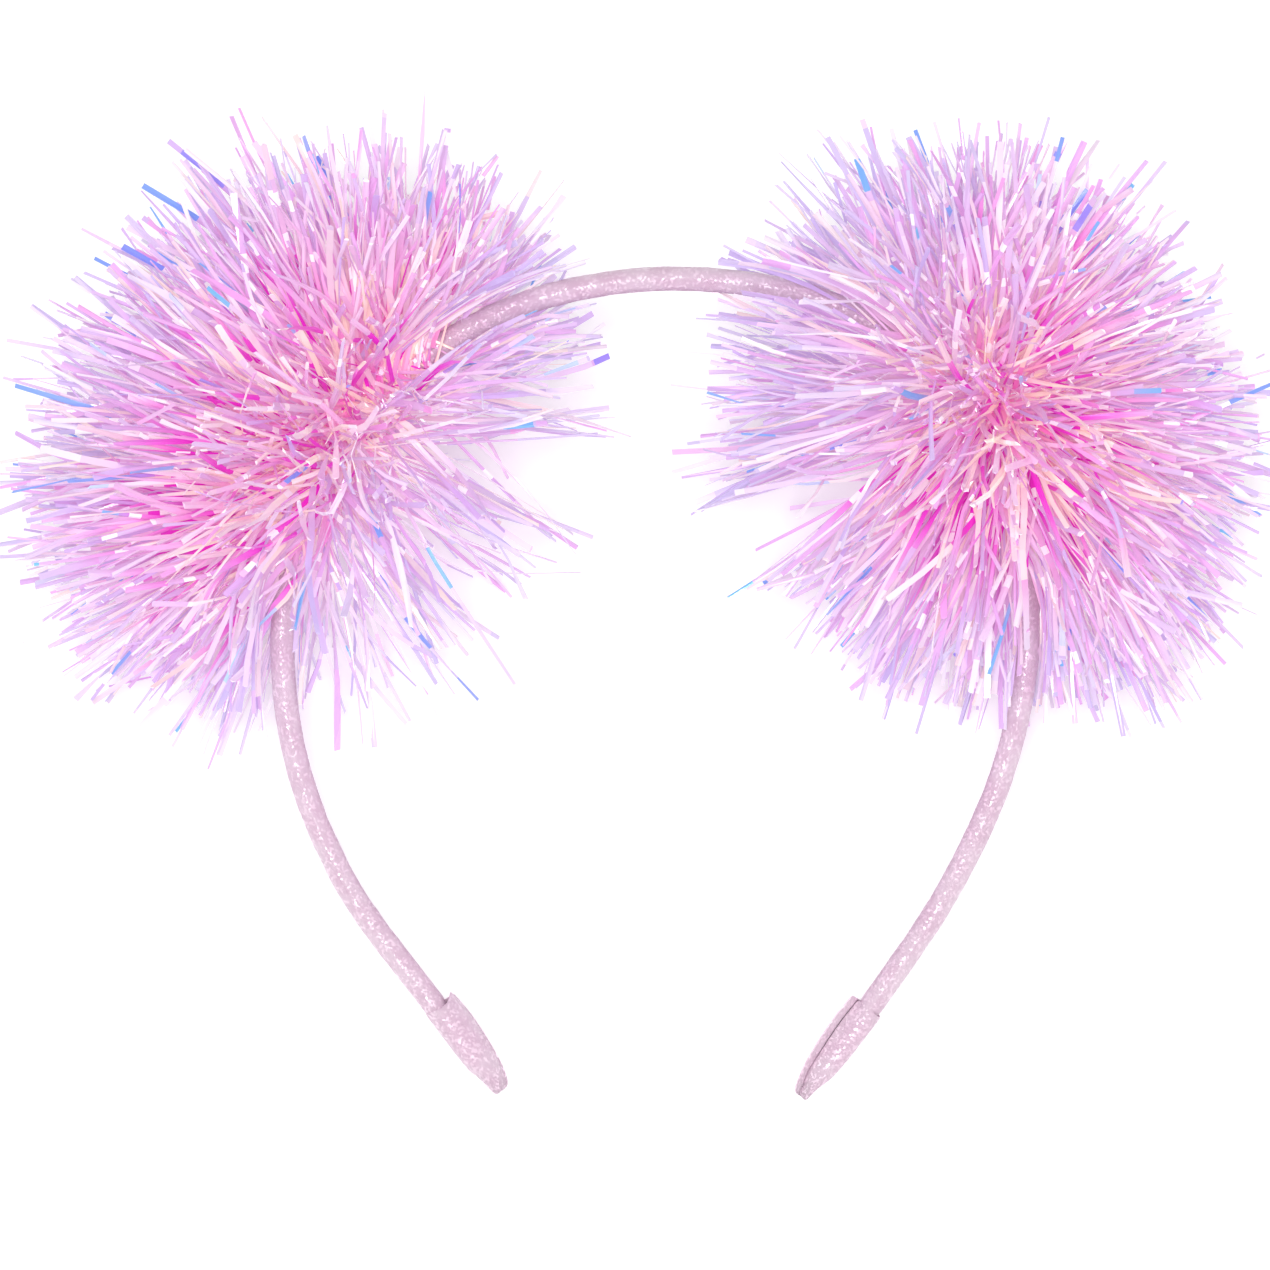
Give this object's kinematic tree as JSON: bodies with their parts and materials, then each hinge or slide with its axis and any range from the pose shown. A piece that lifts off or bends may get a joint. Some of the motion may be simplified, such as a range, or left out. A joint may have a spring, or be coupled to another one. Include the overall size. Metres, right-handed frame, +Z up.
{
  "type": "pompom headband",
  "caption": "Cloth-wrapped arch headband with a round tinsel-strip pompom tied round each shoulder and a folded cloth sleeve over each end, lying on its side.",
  "frame": {"origin": "on the table, under the middle of the whole headband as it lies on its side", "axes": "+X across the arch from the left pompom to the right one, +Y from the sleeve ends towards the crown, +Z up"},
  "size_m": [0.2132, 0.1536, 0.087],
  "materials": {
    "shimmer_cloth": "pale pink shimmer cloth with fine sparkle",
    "tinsel_film": "thin iridescent film, pink to lilac with blue glints"
  },
  "bodies": {
    "root": {"band": "shimmer_cloth", "sleeve_left": "shimmer_cloth", "sleeve_right": "shimmer_cloth", "pompom_left": "tinsel_film", "pompom_right": "tinsel_film"}
  },
  "joints": []
}
